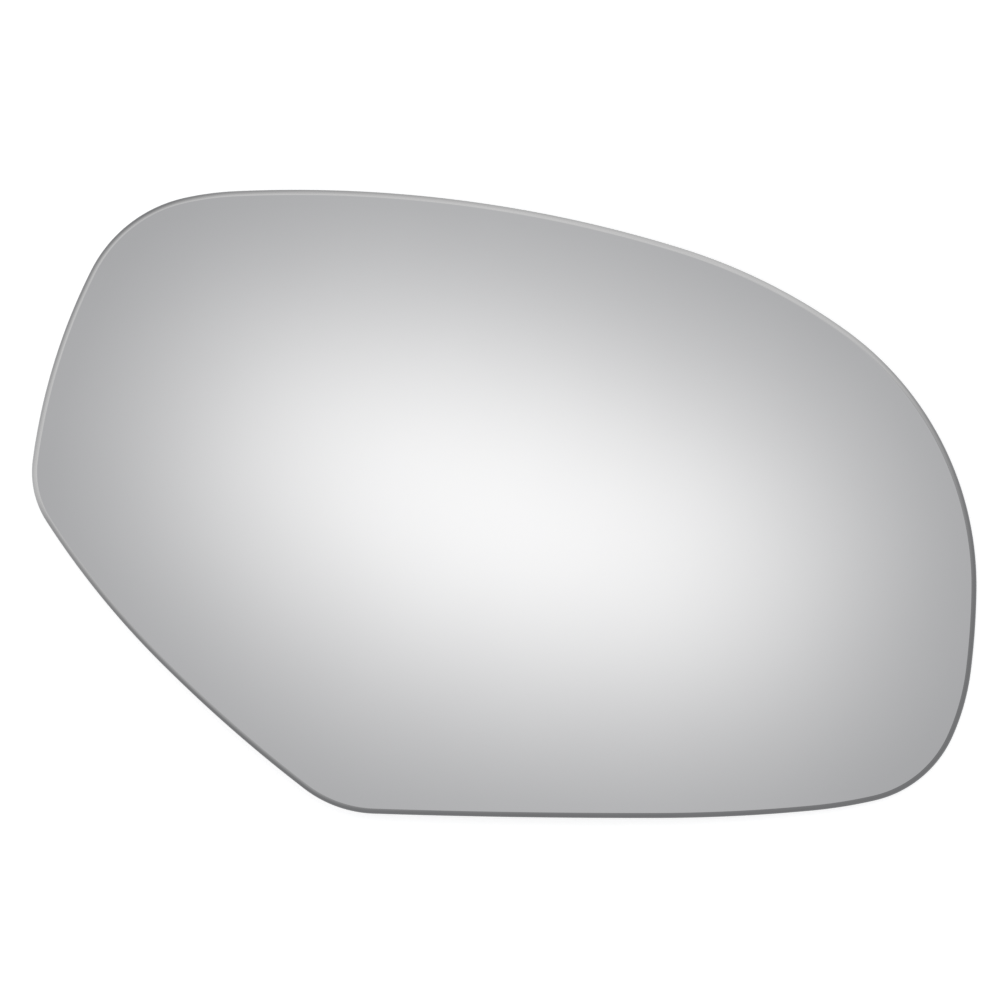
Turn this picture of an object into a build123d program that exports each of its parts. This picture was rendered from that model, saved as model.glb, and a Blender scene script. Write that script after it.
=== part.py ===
from build123d import *
import os

# A convex glass for a car door mirror: one bent sheet with a ground edge.
# It lies face up on its rim, with its outboard end at +X and its upper side at +Y.
# All lengths are in millimetres.

# The corners of the outline, each where two arcs would meet if it weren't rounded.
# The outboard corner is measured from the ankle below it, so that the outboard end moves as one.
TOP_CORNER_X = -95.4
TOP_CORNER_Y = 70.3
HEEL_X = 103.3
HEEL_Y = -70.2
OUTBOARD_CORNER_X = -1.7
OUTBOARD_CORNER_Y = 56.2
FOOT_X = -41.7
FOOT_Y = -76.3
TIP_X = -117.7
TIP_Y = 2.6

# The joints, where one arc runs smoothly into the next, each measured from a corner:
# the brow from the top corner, the ankle and the instep from the heel,
# the shoulder from the outboard corner, the sole from the foot, and the cheek from the tip.
BROW_X = 28.5
BROW_Y = 7.2
ANKLE_X = 12.3
ANKLE_Y = 28.9
SHOULDER_X = -70.3
SHOULDER_Y = 48.5
INSTEP_X = -27.2
INSTEP_Y = -5.7
SOLE_X = 79.3
SOLE_Y = -1.4
CHEEK_X = 31.7
CHEEK_Y = -40.9

# How far the main arc of each side stands out from the straight line between its ends.
TOP_BOW = 4.82
OUTBOARD_BOW = 2.16
BOTTOM_BOW = 0.44
CUT_BOW = 1.17
INBOARD_BOW = 4.36

# The radius of each corner.
TOP_CORNER_RADIUS = 34.0
OUTBOARD_CORNER_RADIUS = 78.0
HEEL_RADIUS = 28.0
FOOT_RADIUS = 30.0
TIP_RADIUS = 22.5

# The bend: the front is part of a sphere, and the back is concentric with it.
# The axis passes through the middle of the smallest circle round the outline,
# so that the sheet lies level on its rim.
DOME_RADIUS = 1400.0
DOME_AXIS_X = 4.0
DOME_AXIS_Y = -0.5
THICKNESS = 2.3

# The ground edge: a bevel at the front and an arris at the back.
BEVEL_WIDTH = 1.3
BEVEL_DEPTH = 0.64
BACK_ARRIS = 0.5

# Turns a sphere so that its poles lie far from the sheet.
POLES_SIDEWAYS = (90, 0, 0)

top_corner = Vector(TOP_CORNER_X, TOP_CORNER_Y)
brow = top_corner + Vector(BROW_X, BROW_Y)
heel = Vector(HEEL_X, HEEL_Y)
ankle = heel + Vector(ANKLE_X, ANKLE_Y)
instep = heel + Vector(INSTEP_X, INSTEP_Y)
outboard_corner = ankle + Vector(OUTBOARD_CORNER_X, OUTBOARD_CORNER_Y)
shoulder = outboard_corner + Vector(SHOULDER_X, SHOULDER_Y)
foot = Vector(FOOT_X, FOOT_Y)
sole = foot + Vector(SOLE_X, SOLE_Y)
tip = Vector(TIP_X, TIP_Y)
cheek = tip + Vector(CHEEK_X, CHEEK_Y)

rounded_corners = [
    (top_corner, TOP_CORNER_RADIUS),
    (outboard_corner, OUTBOARD_CORNER_RADIUS),
    (heel, HEEL_RADIUS),
    (foot, FOOT_RADIUS),
    (tip, TIP_RADIUS),
]

# The outline, side by side, clockwise from the top as seen from the front
with BuildSketch() as outline:
    with BuildLine():
        top_side = SagittaArc(brow, shoulder, TOP_BOW)
        TangentArc(brow, top_corner, tangent=-(top_side % 0))
        TangentArc(shoulder, outboard_corner, tangent=top_side % 1)

        outboard_side = SagittaArc(outboard_corner, ankle, OUTBOARD_BOW)
        TangentArc(ankle, heel, tangent=outboard_side % 1)

        bottom_side = SagittaArc(instep, sole, BOTTOM_BOW)
        TangentArc(instep, heel, tangent=-(bottom_side % 0))
        TangentArc(sole, foot, tangent=bottom_side % 1)

        cut_side = SagittaArc(foot, cheek, CUT_BOW)
        TangentArc(cheek, tip, tangent=cut_side % 1)

        SagittaArc(tip, top_corner, INBOARD_BOW)
    make_face()
    for corner, radius in rounded_corners:
        fillet(outline.vertices().sort_by_distance(corner)[0], radius)

# The sheet: a column of the outline's shape, cut by the two spheres, with its edge ground
with BuildPart() as mirror_glass:
    add(outline.sketch)
    extrude(amount=DOME_RADIUS)
    with Locations((DOME_AXIS_X, DOME_AXIS_Y)):
        Sphere(DOME_RADIUS, rotation=POLES_SIDEWAYS, mode=Mode.INTERSECT)
        Sphere(DOME_RADIUS - THICKNESS, rotation=POLES_SIDEWAYS, mode=Mode.SUBTRACT)
    back, front = mirror_glass.faces().filter_by(GeomType.SPHERE).sort_by(Axis.Z)
    chamfer(front.edges(), BEVEL_WIDTH, BEVEL_DEPTH, reference=front)
    chamfer(back.edges(), BACK_ARRIS)

# The origin is in the middle of the sheet, on the surface that it lies on
box = mirror_glass.part.bounding_box()
middle = box.center()
mirror_glass.part.move(Location((-middle.X, -middle.Y, -box.min.Z)))

mirror_glass.part.label = "mirror_glass"
os.makedirs("parts", exist_ok=True)
export_step(mirror_glass.part, "parts/mirror_glass.step")
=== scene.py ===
import math
from collections import namedtuple

import bpy
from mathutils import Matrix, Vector
from mathutils.geometry import intersect_sphere_sphere_2d


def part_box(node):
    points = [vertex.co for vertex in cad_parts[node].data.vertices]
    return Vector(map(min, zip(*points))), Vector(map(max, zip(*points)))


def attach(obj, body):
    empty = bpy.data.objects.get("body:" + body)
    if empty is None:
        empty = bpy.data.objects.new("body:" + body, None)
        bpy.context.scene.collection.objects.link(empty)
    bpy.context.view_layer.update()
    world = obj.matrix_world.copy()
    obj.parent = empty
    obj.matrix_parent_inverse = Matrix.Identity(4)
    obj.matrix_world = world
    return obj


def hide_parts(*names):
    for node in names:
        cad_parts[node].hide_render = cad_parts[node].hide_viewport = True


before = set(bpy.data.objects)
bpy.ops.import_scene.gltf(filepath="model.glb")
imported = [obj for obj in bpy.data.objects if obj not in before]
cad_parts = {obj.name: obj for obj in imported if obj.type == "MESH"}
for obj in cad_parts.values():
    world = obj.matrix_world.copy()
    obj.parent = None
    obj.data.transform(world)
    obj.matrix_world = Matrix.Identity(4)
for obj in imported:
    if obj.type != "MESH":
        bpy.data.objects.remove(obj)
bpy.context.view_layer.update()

MM = 0.001

# Outline: the corners, each where two arcs would meet if it weren't rounded,
# and the joints, where one arc runs smoothly into the next
TOP_CORNER = Vector((-95.4, 70.3)) * MM
BROW = TOP_CORNER + Vector((28.5, 7.2)) * MM
HEEL = Vector((103.3, -70.2)) * MM
ANKLE = HEEL + Vector((12.3, 28.9)) * MM
INSTEP = HEEL + Vector((-27.2, -5.7)) * MM
OUTBOARD_CORNER = ANKLE + Vector((-1.7, 56.2)) * MM
SHOULDER = OUTBOARD_CORNER + Vector((-70.3, 48.5)) * MM
FOOT = Vector((-41.7, -76.3)) * MM
SOLE = FOOT + Vector((79.3, -1.4)) * MM
TIP = Vector((-117.7, 2.6)) * MM
CHEEK = TIP + Vector((31.7, -40.9)) * MM

# Outline: how far the main arc of each side stands out from the straight line between its ends
TOP_BOW = 4.82 * MM
OUTBOARD_BOW = 2.16 * MM
BOTTOM_BOW = 0.44 * MM
CUT_BOW = 1.17 * MM
INBOARD_BOW = 4.36 * MM

# Outline: the radius of each corner
TOP_CORNER_RADIUS = 34.0 * MM
OUTBOARD_CORNER_RADIUS = 78.0 * MM
HEEL_RADIUS = 28.0 * MM
FOOT_RADIUS = 30.0 * MM
TIP_RADIUS = 22.5 * MM

# The bent sheet and its ground edge
DOME_RADIUS = 1400.0 * MM
DOME_AXIS = Vector((4.0, -0.5, 0.0)) * MM
THICKNESS = 2.3 * MM
BEVEL_WIDTH = 1.3 * MM
BEVEL_INNER_TILT = math.radians(7.8)
BEVEL_OUTER_TILT = math.radians(28)
NOSE_RADIUS = 0.1 * MM
BACK_ARRIS = 0.5 * MM

# How finely the sheet is divided
OUTLINE_STEP = 1.0 * MM
FACE_RINGS = 36
BEVEL_STEPS = 10
NOSE_STEPS = 12
BACK_RINGS = 24
CREASE = math.radians(7)
WELD = 0.001 * MM

# Half a step of a grid, which keeps a whole number clear of rounding
HALF_STEP = 0.5

# The first material slot of a new grid, which no face uses
EMPTY_SLOT = 0

# Finishes: the darkest and the lightest colour, and the least and the greatest roughness
FACE_COLORS = (0.895, 0.895, 0.895, 1), (0.905, 0.905, 0.905, 1)
FACE_ROUGHNESS = 0.012, 0.03
BEVEL_COLORS = (0.483, 0.483, 0.483, 1), (0.537, 0.537, 0.537, 1)
BEVEL_ROUGHNESS = 0.07, 0.13
EDGE_COLORS = (0.33, 0.355, 0.345, 1), (0.43, 0.455, 0.445, 1)
EDGE_ROUGHNESS = 0.4, 0.6
PAINT_COLORS = (0.145, 0.15, 0.155, 1), (0.195, 0.2, 0.205, 1)
PAINT_ROUGHNESS = 0.46, 0.6

# Patterns of the finishes: how many spots each has in a metre, and how many layers of finer detail.
# Grinding lines are spots that are many times as long as they are wide.
HAZE_SPOTS = 35
HAZE_DETAIL = 4
LINE_SPOTS = 90
LINE_DETAIL = 3
LINE_STRETCH = 120
CLOUD_SPOTS = 45
CLOUD_DETAIL = 3
GRAIN_SPOTS = 1800
GRAIN_DETAIL = 3
GRAIN_SHARE = 0.65
RIPPLE_SPOTS = 700
RIPPLE_DETAIL = 2
RIPPLE_HEIGHT = 0.05 * MM

# The range that nearly all values of a noise pattern lie in
NOISE_LOW = 0.3
NOISE_HIGH = 0.7

# The photograph: its side, and the width and middle of the glass in it, in pixels
PHOTO_SIDE = 1000
GLASS_WIDTH_IN_PHOTO = 945.1
GLASS_MIDDLE_IN_PHOTO = Vector((504.2, 503.9))

# The camera, and the mean height of the rim that is seen as the outline
LENS = 400.0
SENSOR = 36.0
RIM_HEIGHT = 3.2 * MM

# The room: its dim light at the floor and overhead, and the white band at its horizon
ROOM_COLOR = (0.985, 0.992, 1.02, 1)
LOW_LIGHT = 0.14
OVERHEAD_LIGHT = 0.383
HORIZON_LIGHT = 0.84
HORIZON_HEIGHT = 0.35
HORIZON_SHARPNESS = 2

# Soft round lights: azimuth from +X towards +Y, elevation, spread and strength.
# The face mirrors the three on the ceiling, and the bevel those on the walls,
# which have sharper borders and fade out where the ceiling starts.
LIGHT_COLOR = (1.006, 1.0, 0.99, 1)
CEILING_LIGHTS = [
    (163, 83.2, 0.083, 0.20),
    (181, 88.5, 0.102, 0.52),
    (343, 84.8, 0.091, 0.37),
]
WALL_LIGHTS = [
    (65, 49, 0.49, 0.70),
    (185, 30, 0.37, 0.42),
    (164, 68, 0.49, 0.71),
]
CEILING_SHARPNESS = 2
WALL_SHARPNESS = 3
WALL_TOP = math.sin(math.radians(63))
CEILING_EDGE = math.sin(math.radians(78.5))

# The floor: its own colour, the glow that makes it white to the eye, and how far it reaches
FLOOR_COLOR = (0.75, 0.75, 0.75, 1)
FLOOR_GLOW = 0.68
FLOOR_REACH = 8.0


# The outline of the glass

Circle = namedtuple("Circle", ["centre", "radius"])
Arc = namedtuple("Arc", ["centre", "start", "end"])


def circle_by_bow(start, end, bow):
    """The circle of the arc from start to end that stands out to the left by bow."""
    chord = end - start
    radius = (chord.length_squared / 4 + bow ** 2) / (2 * bow)
    outward = Vector((-chord.y, chord.x)).normalized()
    return Circle((start + end) / 2 + outward * (bow - radius), radius)


def circle_by_tangent(start, end, before):
    """The circle of the arc from start to end that runs on smoothly from the circle before it."""
    chord = end - start
    inward = (before.centre - start).normalized()
    radius = chord.length_squared / (2 * chord.dot(inward))
    return Circle(start + inward * radius, radius)


def corner_round(before, after, corner, radius):
    """The arc that rounds a corner, from the side before it to the side after it."""
    places = intersect_sphere_sphere_2d(
        before.centre, before.radius - radius, after.centre, after.radius - radius)
    centre = min(places, key=lambda place: (place - corner).length)
    start = centre + (centre - before.centre).normalized() * radius
    end = centre + (centre - after.centre).normalized() * radius
    return Arc(centre, start, end)


def arc_points(arc):
    """Points along a clockwise arc from its start up to, and without, its end."""
    from_centre = arc.start - arc.centre
    radius = from_centre.length
    turn = from_centre.angle_signed(arc.end - arc.centre)
    count = max(1, round(radius * turn / OUTLINE_STEP))
    first = math.atan2(from_centre.y, from_centre.x)
    angles = [first - turn * i / count for i in range(count)]
    return [arc.centre + Vector((math.cos(angle), math.sin(angle))) * radius for angle in angles]


def outline_points():
    """The outline as evenly spaced points, clockwise from the top corner."""
    top = circle_by_bow(BROW, SHOULDER, TOP_BOW)
    brow = circle_by_tangent(BROW, TOP_CORNER, top)
    shoulder = circle_by_tangent(SHOULDER, OUTBOARD_CORNER, top)
    outboard = circle_by_bow(OUTBOARD_CORNER, ANKLE, OUTBOARD_BOW)
    ankle = circle_by_tangent(ANKLE, HEEL, outboard)
    bottom = circle_by_bow(INSTEP, SOLE, BOTTOM_BOW)
    instep = circle_by_tangent(INSTEP, HEEL, bottom)
    sole = circle_by_tangent(SOLE, FOOT, bottom)
    cut = circle_by_bow(FOOT, CHEEK, CUT_BOW)
    cheek = circle_by_tangent(CHEEK, TIP, cut)
    inboard = circle_by_bow(TIP, TOP_CORNER, INBOARD_BOW)

    top_round = corner_round(inboard, brow, TOP_CORNER, TOP_CORNER_RADIUS)
    outboard_round = corner_round(shoulder, outboard, OUTBOARD_CORNER, OUTBOARD_CORNER_RADIUS)
    heel_round = corner_round(ankle, instep, HEEL, HEEL_RADIUS)
    foot_round = corner_round(sole, cut, FOOT, FOOT_RADIUS)
    tip_round = corner_round(cheek, inboard, TIP, TIP_RADIUS)

    arcs = [
        top_round,
        Arc(brow.centre, top_round.end, BROW),
        Arc(top.centre, BROW, SHOULDER),
        Arc(shoulder.centre, SHOULDER, outboard_round.start),
        outboard_round,
        Arc(outboard.centre, outboard_round.end, ANKLE),
        Arc(ankle.centre, ANKLE, heel_round.start),
        heel_round,
        Arc(instep.centre, heel_round.end, INSTEP),
        Arc(bottom.centre, INSTEP, SOLE),
        Arc(sole.centre, SOLE, foot_round.start),
        foot_round,
        Arc(cut.centre, foot_round.end, CHEEK),
        Arc(cheek.centre, CHEEK, tip_round.start),
        tip_round,
        Arc(inboard.centre, tip_round.end, top_round.start),
    ]
    return [point for arc in arcs for point in arc_points(arc)]


# The section of the glass: each point is how far in from the outline it lies, how deep
# below the face, and its reach from the dome's axis to the edge, from 0 to 1

def face_section():
    """From the middle of the face to the bevel."""
    return [Vector((BEVEL_WIDTH, 0, i / FACE_RINGS)) for i in range(FACE_RINGS)]


def bevel_section():
    """Down the slightly crowned bevel and round its nose."""
    flank = BEVEL_WIDTH - NOSE_RADIUS * (1 - math.sin(BEVEL_OUTER_TILT))
    crown = flank / (math.sin(BEVEL_OUTER_TILT) - math.sin(BEVEL_INNER_TILT))
    points = []
    for i in range(BEVEL_STEPS + 1):
        tilt = BEVEL_INNER_TILT + (BEVEL_OUTER_TILT - BEVEL_INNER_TILT) * i / BEVEL_STEPS
        inset = BEVEL_WIDTH - crown * (math.sin(tilt) - math.sin(BEVEL_INNER_TILT))
        depth = crown * (math.cos(BEVEL_INNER_TILT) - math.cos(tilt))
        points.append(Vector((inset, depth, 1)))

    flank_foot = points[-1].y
    for i in range(1, NOSE_STEPS + 1):
        tilt = BEVEL_OUTER_TILT + (math.pi / 2 - BEVEL_OUTER_TILT) * i / NOSE_STEPS
        inset = NOSE_RADIUS * (1 - math.sin(tilt))
        depth = flank_foot + NOSE_RADIUS * (math.cos(BEVEL_OUTER_TILT) - math.cos(tilt))
        points.append(Vector((inset, depth, 1)))
    return points


def edge_section():
    """Down the edge and over the arris."""
    return [Vector((0, THICKNESS - BACK_ARRIS, 1)), Vector((BACK_ARRIS, THICKNESS, 1))]


def back_section():
    """From the arris to the middle of the back."""
    return [Vector((BACK_ARRIS, THICKNESS, 1 - i / BACK_RINGS)) for i in range(1, BACK_RINGS + 1)]


def polyline(name, points, closed):
    """A helper object of points joined by edges."""
    edges = [(i, i + 1) for i in range(len(points) - 1)]
    if closed:
        edges.append((len(points) - 1, 0))
    mesh = bpy.data.meshes.new(name)
    mesh.from_pydata(points, edges, [])
    return bpy.data.objects.new(name, mesh)


def section_line(points):
    """The section as a helper object, which stores how far each point has run along it."""
    line = polyline("section", points, closed=False)
    run = line.data.attributes.new("run", "FLOAT", "POINT")
    for i in range(1, len(points)):
        step = (points[i] - points[i - 1]).xy.length
        run.data[i].value = run.data[i - 1].value + step
    return line


# Node helpers

def fill_inputs(tree, sockets, values):
    """Links or sets each input, by whether its value is a socket or plain."""
    for socket, value in zip(sockets, values):
        if isinstance(value, bpy.types.NodeSocket):
            tree.links.new(value, socket)
        else:
            socket.default_value = value


def math_node(tree, operation, *values):
    node = tree.nodes.new("ShaderNodeMath")
    node.operation = operation
    fill_inputs(tree, node.inputs, values)
    return node.outputs[0]


def vector_node(tree, operation, *values):
    node = tree.nodes.new("ShaderNodeVectorMath")
    node.operation = operation
    fill_inputs(tree, [socket for socket in node.inputs if socket.enabled], values)
    return next(socket for socket in node.outputs if socket.enabled)


def bell(tree, value, sharpness):
    """A bell curve of a value: 1 at 0, falling to 0 on both sides."""
    fall = math_node(tree, "POWER", value, sharpness)
    return math_node(tree, "EXPONENT", math_node(tree, "MULTIPLY", fall, -1))


# Materials

def new_material(name):
    """A material, its node tree and its surface shader's inputs."""
    material = bpy.data.materials.new(name)
    material.use_nodes = True
    return material, material.node_tree, material.node_tree.nodes["Principled BSDF"].inputs


def noise(tree, place, spots, detail):
    """A noise pattern with that many spots in a metre."""
    node = tree.nodes.new("ShaderNodeTexNoise")
    node.inputs["Scale"].default_value = spots
    node.inputs["Detail"].default_value = detail
    tree.links.new(place, node.inputs["Vector"])
    return node.outputs["Fac"]


def ranged(tree, value, low, high):
    """A noise value spread over a range."""
    node = tree.nodes.new("ShaderNodeMapRange")
    fill_inputs(tree, node.inputs, (value, NOISE_LOW, NOISE_HIGH, low, high))
    return node.outputs["Result"]


def between(tree, value, low_color, high_color):
    """A colour between two, by a noise value."""
    node = tree.nodes.new("ShaderNodeValToRGB")
    low, high = node.color_ramp.elements
    low.position = NOISE_LOW
    low.color = low_color
    high.position = NOISE_HIGH
    high.color = high_color
    tree.links.new(value, node.inputs["Fac"])
    return node.outputs["Color"]


def bump(tree, height, distance):
    node = tree.nodes.new("ShaderNodeBump")
    node.inputs["Distance"].default_value = distance
    tree.links.new(height, node.inputs["Height"])
    return node.outputs["Normal"]


def object_place(tree):
    return tree.nodes.new("ShaderNodeTexCoord").outputs["Object"]


def grinding_lines(tree):
    """Fine lines that run along the edge, as a grinding wheel leaves them."""
    run = tree.nodes.new("ShaderNodeAttribute")
    run.attribute_name = "section_run"
    across = tree.nodes.new("ShaderNodeCombineXYZ")
    stretched = math_node(tree, "MULTIPLY", run.outputs["Fac"], LINE_STRETCH)
    tree.links.new(stretched, across.inputs["Z"])
    place = vector_node(tree, "MULTIPLY_ADD", object_place(tree), (1, 1, 0), across.outputs[0])
    return noise(tree, place, LINE_SPOTS, LINE_DETAIL)


def silvered_face():
    """The mirror coat, with the faintest haze."""
    material, tree, shader = new_material("silvered_face")
    shader["Metallic"].default_value = 1.0
    haze = noise(tree, object_place(tree), HAZE_SPOTS, HAZE_DETAIL)
    tree.links.new(between(tree, haze, *FACE_COLORS), shader["Base Color"])
    tree.links.new(ranged(tree, haze, *FACE_ROUGHNESS), shader["Roughness"])
    return material


def ground_bevel():
    """The bevel, ground and polished, with the mirror coat showing through it."""
    material, tree, shader = new_material("ground_bevel")
    shader["Metallic"].default_value = 1.0
    lines = grinding_lines(tree)
    tree.links.new(between(tree, lines, *BEVEL_COLORS), shader["Base Color"])
    tree.links.new(ranged(tree, lines, *BEVEL_ROUGHNESS), shader["Roughness"])
    return material


def ground_edge():
    """The edge and the arris, ground and left matt, with the green of glass."""
    material, tree, shader = new_material("ground_edge")
    lines = grinding_lines(tree)
    tree.links.new(between(tree, lines, *EDGE_COLORS), shader["Base Color"])
    tree.links.new(ranged(tree, lines, *EDGE_ROUGHNESS), shader["Roughness"])
    return material


def backing_paint():
    """The grey paint that protects the coat from behind, slightly cloudy, grainy and rippled."""
    material, tree, shader = new_material("backing_paint")
    place = object_place(tree)
    grain = noise(tree, place, GRAIN_SPOTS, GRAIN_DETAIL)
    clouds = noise(tree, place, CLOUD_SPOTS, CLOUD_DETAIL)
    fine = math_node(tree, "MULTIPLY", grain, GRAIN_SHARE)
    coat = math_node(tree, "MULTIPLY_ADD", clouds, 1 - GRAIN_SHARE, fine)
    ripple = noise(tree, place, RIPPLE_SPOTS, RIPPLE_DETAIL)
    tree.links.new(between(tree, coat, *PAINT_COLORS), shader["Base Color"])
    tree.links.new(ranged(tree, grain, *PAINT_ROUGHNESS), shader["Roughness"])
    tree.links.new(bump(tree, ripple, RIPPLE_HEIGHT), shader["Normal"])
    return material


# The bent sheet

def sampled(tree, geometry, value, kind, index):
    """The value that a geometry's point of that number has."""
    sample = tree.nodes.new("GeometryNodeSampleIndex")
    sample.data_type = kind
    sample.domain = "POINT"
    tree.links.new(geometry, sample.inputs["Geometry"])
    tree.links.new(value, sample.inputs["Value"])
    tree.links.new(index, sample.inputs["Index"])
    return sample.outputs["Value"]


def named_attribute(tree, name, kind):
    node = tree.nodes.new("GeometryNodeInputNamedAttribute")
    node.data_type = kind
    node.inputs["Name"].default_value = name
    return node.outputs["Attribute"]


def stored(tree, geometry, name, kind, domain, value):
    """The geometry with a value stored on it by name."""
    node = tree.nodes.new("GeometryNodeStoreNamedAttribute")
    node.data_type = kind
    node.domain = domain
    node.inputs["Name"].default_value = name
    tree.links.new(geometry, node.inputs["Geometry"])
    tree.links.new(value, node.inputs["Value"])
    return node.outputs["Geometry"]


def moved(tree, geometry, socket, value):
    """The geometry with its points set to a Position or moved by an Offset."""
    node = tree.nodes.new("GeometryNodeSetPosition")
    tree.links.new(geometry, node.inputs["Geometry"])
    tree.links.new(value, node.inputs[socket])
    return node.outputs["Geometry"]


def helper_points(tree, socket):
    node = tree.nodes.new("GeometryNodeObjectInfo")
    tree.links.new(socket, node.inputs["Object"])
    return node.outputs["Geometry"]


def row_and_column(tree, index, rows):
    """The place in a grid of the point or face of that number."""
    middle = math_node(tree, "ADD", index, HALF_STEP)
    column = math_node(tree, "FLOOR", math_node(tree, "DIVIDE", middle, rows))
    row = math_node(tree, "SUBTRACT", index, math_node(tree, "MULTIPLY", column, rows))
    return row, column


def swept(tree, outline, around, section, row, column):
    """A section swept round an outline, still flat: each point's ring, depth and reach."""
    position = tree.nodes.new("GeometryNodeInputPosition").outputs[0]

    def outline_place(step):
        number = math_node(tree, "FLOORED_MODULO", math_node(tree, "ADD", column, step), around)
        return sampled(tree, outline, position, "FLOAT_VECTOR", number)

    along = vector_node(tree, "SUBTRACT", outline_place(1), outline_place(-1))
    inward = vector_node(tree, "NORMALIZE", vector_node(tree, "CROSS_PRODUCT", along, (0, 0, 1)))
    place = tree.nodes.new("ShaderNodeSeparateXYZ")
    tree.links.new(sampled(tree, section, position, "FLOAT_VECTOR", row), place.inputs[0])
    inset, depth, reach = place.outputs
    ring = vector_node(tree, "MULTIPLY_ADD", inward, inset, outline_place(0))
    return ring, depth, reach


def bent(tree, ring, depth, reach, axis, radius):
    """A swept place bent onto a sphere. Each layer of the sheet has its own, about the same centre."""
    flat = vector_node(tree, "MULTIPLY", vector_node(tree, "SUBTRACT", ring, axis), reach)
    layer = math_node(tree, "SUBTRACT", radius, depth)
    off_axis = vector_node(tree, "DOT_PRODUCT", flat, flat)
    rise = math_node(tree, "SUBTRACT", math_node(tree, "MULTIPLY", layer, layer), off_axis)
    height = tree.nodes.new("ShaderNodeCombineXYZ")
    tree.links.new(math_node(tree, "SQRT", rise), height.inputs["Z"])
    return vector_node(tree, "ADD", flat, height.outputs[0])


def welded(tree, sheet):
    """The sheet with its seam and its two poles closed, smooth but for its creases."""
    weld = tree.nodes.new("GeometryNodeMergeByDistance")
    weld.inputs["Distance"].default_value = WELD
    tree.links.new(sheet, weld.inputs["Geometry"])
    angle = tree.nodes.new("GeometryNodeInputMeshEdgeAngle").outputs["Unsigned Angle"]
    crease = math_node(tree, "GREATER_THAN", angle, CREASE)
    sheet = stored(tree, weld.outputs["Geometry"], "sharp_edge", "BOOLEAN", "EDGE", crease)
    smooth = tree.nodes.new("GeometryNodeSetShadeSmooth")
    tree.links.new(sheet, smooth.inputs["Geometry"])
    return smooth.outputs["Geometry"]


def laid_down(tree, sheet):
    """The sheet with the middle of its box over the origin and its lowest point on the floor."""
    box = tree.nodes.new("GeometryNodeBoundBox")
    tree.links.new(sheet, box.inputs["Geometry"])
    low, high = box.outputs["Min"], box.outputs["Max"]
    to_middle = vector_node(tree, "MULTIPLY", vector_node(tree, "ADD", low, high), (-0.5, -0.5, 0))
    to_floor = vector_node(tree, "MULTIPLY", low, (0, 0, -1))
    return moved(tree, sheet, "Offset", vector_node(tree, "ADD", to_middle, to_floor))


def finished(tree, sheet, finishes):
    """The sheet as one mesh, with each finish on its own rows of the section."""
    realize = tree.nodes.new("GeometryNodeRealizeInstances")
    tree.links.new(sheet, realize.inputs["Geometry"])
    sheet = realize.outputs["Geometry"]
    row = named_attribute(tree, "section_row", "FLOAT")
    first_row = 0
    for material, rows in finishes:
        paint = tree.nodes.new("GeometryNodeSetMaterial")
        paint.inputs["Material"].default_value = material
        tree.links.new(sheet, paint.inputs["Geometry"])
        from_here_on = math_node(tree, "GREATER_THAN", row, first_row - HALF_STEP)
        tree.links.new(from_here_on, paint.inputs["Selection"])
        sheet = paint.outputs["Geometry"]
        first_row += rows
    return sheet


def bent_sheet_tree(around, across, finishes):
    """Sweeps a section round an outline, bends the flat result onto a sphere and lays it on the floor."""
    tree = bpy.data.node_groups.new("bent_sheet", "GeometryNodeTree")
    tree.interface.new_socket("Outline", in_out="INPUT", socket_type="NodeSocketObject")
    tree.interface.new_socket("Section", in_out="INPUT", socket_type="NodeSocketObject")
    tree.interface.new_socket("Dome Radius", in_out="INPUT", socket_type="NodeSocketFloat")
    tree.interface.new_socket("Dome Axis", in_out="INPUT", socket_type="NodeSocketVector")
    tree.interface.new_socket("Geometry", in_out="OUTPUT", socket_type="NodeSocketGeometry")
    given = tree.nodes.new("NodeGroupInput").outputs
    outline = helper_points(tree, given["Outline"])
    section = helper_points(tree, given["Section"])
    index = tree.nodes.new("GeometryNodeInputIndex").outputs[0]

    # One column for each point of the outline, the first one again at the end
    grid = tree.nodes.new("GeometryNodeMeshGrid")
    grid.inputs["Vertices X"].default_value = around + 1
    grid.inputs["Vertices Y"].default_value = across
    row, column = row_and_column(tree, index, across)
    ring, depth, reach = swept(tree, outline, around, section, row, column)
    place = bent(tree, ring, depth, reach, given["Dome Axis"], given["Dome Radius"])
    sheet = moved(tree, grid.outputs["Mesh"], "Position", place)

    # Grinding lines follow each point's run along the section, and finishes each face's row
    run = sampled(tree, section, named_attribute(tree, "run", "FLOAT"), "FLOAT", row)
    sheet = stored(tree, sheet, "section_run", "FLOAT", "POINT", run)
    face_row, _ = row_and_column(tree, index, across - 1)
    sheet = stored(tree, sheet, "section_row", "FLOAT", "FACE", face_row)

    sheet = welded(tree, sheet)
    sheet = laid_down(tree, sheet)
    sheet = finished(tree, sheet, finishes)
    tree.links.new(sheet, tree.nodes.new("NodeGroupOutput").inputs["Geometry"])
    return tree


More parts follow.
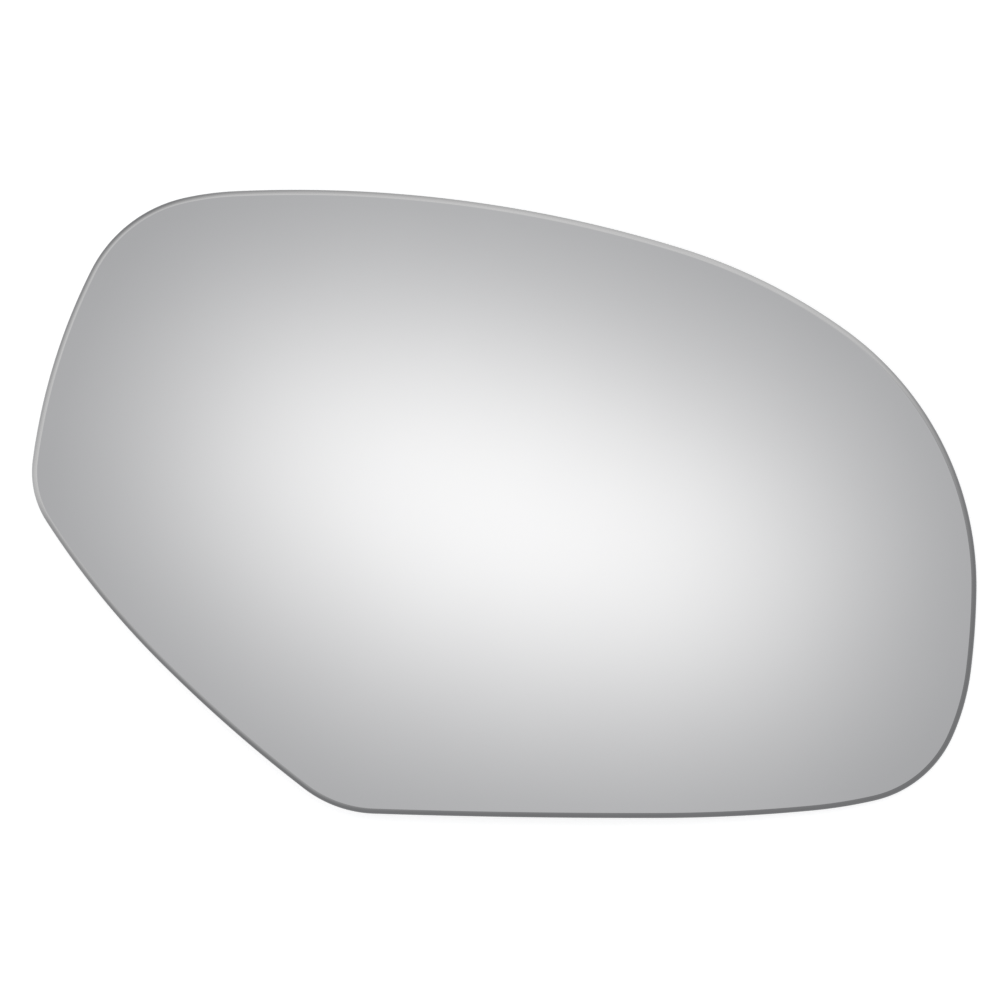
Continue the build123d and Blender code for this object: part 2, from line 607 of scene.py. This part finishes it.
def bent_sheet():
    """The glass as one plain mesh."""
    outline = polyline("outline", [point.to_3d() for point in outline_points()], closed=True)
    face, bevel, edge, back = face_section(), bevel_section(), edge_section(), back_section()
    section = section_line(face + bevel + edge + back)

    # Each finish, and how many rows of faces it covers
    finishes = [
        (silvered_face(), len(face)),
        (ground_bevel(), len(bevel) - 1),
        (ground_edge(), len(edge)),
        (backing_paint(), len(back)),
    ]
    tree = bent_sheet_tree(len(outline.data.vertices), len(section.data.vertices), finishes)
    sizes = {"Outline": outline, "Section": section, "Dome Radius": DOME_RADIUS, "Dome Axis": DOME_AXIS}

    sheet = bpy.data.objects.new("mirror_sheet", bpy.data.meshes.new("mirror_sheet"))
    bpy.context.scene.collection.objects.link(sheet)
    modifier = sheet.modifiers.new("bent_sheet", "NODES")
    modifier.node_group = tree
    for socket in tree.interface.items_tree:
        if socket.name in sizes:
            modifier[socket.identifier] = sizes[socket.name]

    evaluated = sheet.evaluated_get(bpy.context.evaluated_depsgraph_get())
    mesh = bpy.data.meshes.new_from_object(evaluated)
    sheet.modifiers.remove(modifier)
    sheet.data = mesh
    mesh.materials.pop(index=EMPTY_SLOT)
    mesh.attributes.remove(mesh.attributes["section_row"])
    bpy.data.objects.remove(outline)
    bpy.data.objects.remove(section)
    return sheet


# The studio

def floor():
    """A plain white floor that keeps the glass's shadow."""
    mesh = bpy.data.meshes.new("floor")
    corners = [(-1, -1, 0), (1, -1, 0), (1, 1, 0), (-1, 1, 0)]
    mesh.from_pydata([Vector(corner) * FLOOR_REACH for corner in corners], [], [(0, 1, 2, 3)])
    plane = bpy.data.objects.new("floor", mesh)
    bpy.context.scene.collection.objects.link(plane)

    material = bpy.data.materials.new("floor")
    material.use_nodes = True
    tree = material.node_tree
    tree.nodes.clear()
    paper = tree.nodes.new("ShaderNodeBsdfDiffuse")
    paper.inputs["Color"].default_value = FLOOR_COLOR
    glow = tree.nodes.new("ShaderNodeEmission")
    ray = tree.nodes.new("ShaderNodeLightPath").outputs
    seen = math_node(tree, "MAXIMUM", ray["Is Camera Ray"], ray["Is Glossy Ray"])
    seen = math_node(tree, "MAXIMUM", seen, ray["Is Transmission Ray"])
    tree.links.new(math_node(tree, "MULTIPLY", seen, FLOOR_GLOW), glow.inputs["Strength"])
    both = tree.nodes.new("ShaderNodeAddShader")
    tree.links.new(paper.outputs[0], both.inputs[0])
    tree.links.new(glow.outputs[0], both.inputs[1])
    output = tree.nodes.new("ShaderNodeOutputMaterial")
    tree.links.new(both.outputs[0], output.inputs["Surface"])
    mesh.materials.append(material)


def soft_lights(tree, direction, lights, sharpness):
    """The sum of round lights with soft edges, as seen in a direction."""
    total = 0.0
    for azimuth, elevation, spread, strength in lights:
        around, up = math.radians(azimuth), math.radians(elevation)
        middle = (math.cos(around) * math.cos(up), math.sin(around) * math.cos(up), math.sin(up))
        away = math_node(tree, "DIVIDE", vector_node(tree, "DISTANCE", direction, middle), spread)
        total = math_node(tree, "MULTIPLY_ADD", bell(tree, away, sharpness), strength, total)
    return total


def room():
    """A dim room with a white horizon and soft lights."""
    world = bpy.data.worlds.new("room")
    world.use_nodes = True
    bpy.context.scene.world = world
    tree = world.node_tree
    direction = tree.nodes.new("ShaderNodeTexCoord").outputs["Generated"]
    parts = tree.nodes.new("ShaderNodeSeparateXYZ")
    tree.links.new(direction, parts.inputs[0])
    up = parts.outputs["Z"]

    walls = tree.nodes["Background"]
    walls.inputs["Color"].default_value = ROOM_COLOR
    horizon = bell(tree, math_node(tree, "DIVIDE", up, HORIZON_HEIGHT), HORIZON_SHARPNESS)
    above_floor = math_node(tree, "MAXIMUM", up, 0)
    dim = math_node(tree, "MULTIPLY_ADD", above_floor, OVERHEAD_LIGHT - LOW_LIGHT, LOW_LIGHT)
    level = math_node(tree, "MULTIPLY_ADD", horizon, HORIZON_LIGHT, dim)
    tree.links.new(level, walls.inputs["Strength"])

    lights = tree.nodes.new("ShaderNodeBackground")
    lights.inputs["Color"].default_value = LIGHT_COLOR
    fade = tree.nodes.new("ShaderNodeMapRange")
    fade.interpolation_type = "SMOOTHSTEP"
    fill_inputs(tree, fade.inputs, (up, WALL_TOP, CEILING_EDGE, 1, 0))
    on_walls = soft_lights(tree, direction, WALL_LIGHTS, WALL_SHARPNESS)
    on_ceiling = soft_lights(tree, direction, CEILING_LIGHTS, CEILING_SHARPNESS)
    total = math_node(tree, "MULTIPLY_ADD", on_walls, fade.outputs["Result"], on_ceiling)
    tree.links.new(total, lights.inputs["Strength"])

    both = tree.nodes.new("ShaderNodeAddShader")
    tree.links.new(walls.outputs[0], both.inputs[0])
    tree.links.new(lights.outputs[0], both.inputs[1])
    tree.links.new(both.outputs[0], tree.nodes["World Output"].inputs["Surface"])


def camera():
    """Straight above the glass, which is as wide and in the same place as in the photograph."""
    low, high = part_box("mirror_glass")
    pixel = (high[0] - low[0]) / GLASS_WIDTH_IN_PHOTO
    off_middle = (GLASS_MIDDLE_IN_PHOTO - Vector((PHOTO_SIDE, PHOTO_SIDE)) / 2) * pixel
    view = bpy.data.cameras.new("camera")
    view.lens = LENS
    view.sensor_width = SENSOR
    eye = bpy.data.objects.new("camera", view)
    eye.location = (-off_middle.x, off_middle.y, PHOTO_SIDE * pixel * LENS / SENSOR + RIM_HEIGHT)
    bpy.context.scene.collection.objects.link(eye)
    bpy.context.scene.camera = eye


sheet = bent_sheet()
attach(sheet, "root")
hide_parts("mirror_glass")

floor()
room()
camera()

bpy.context.scene.view_settings.view_transform = "Standard"
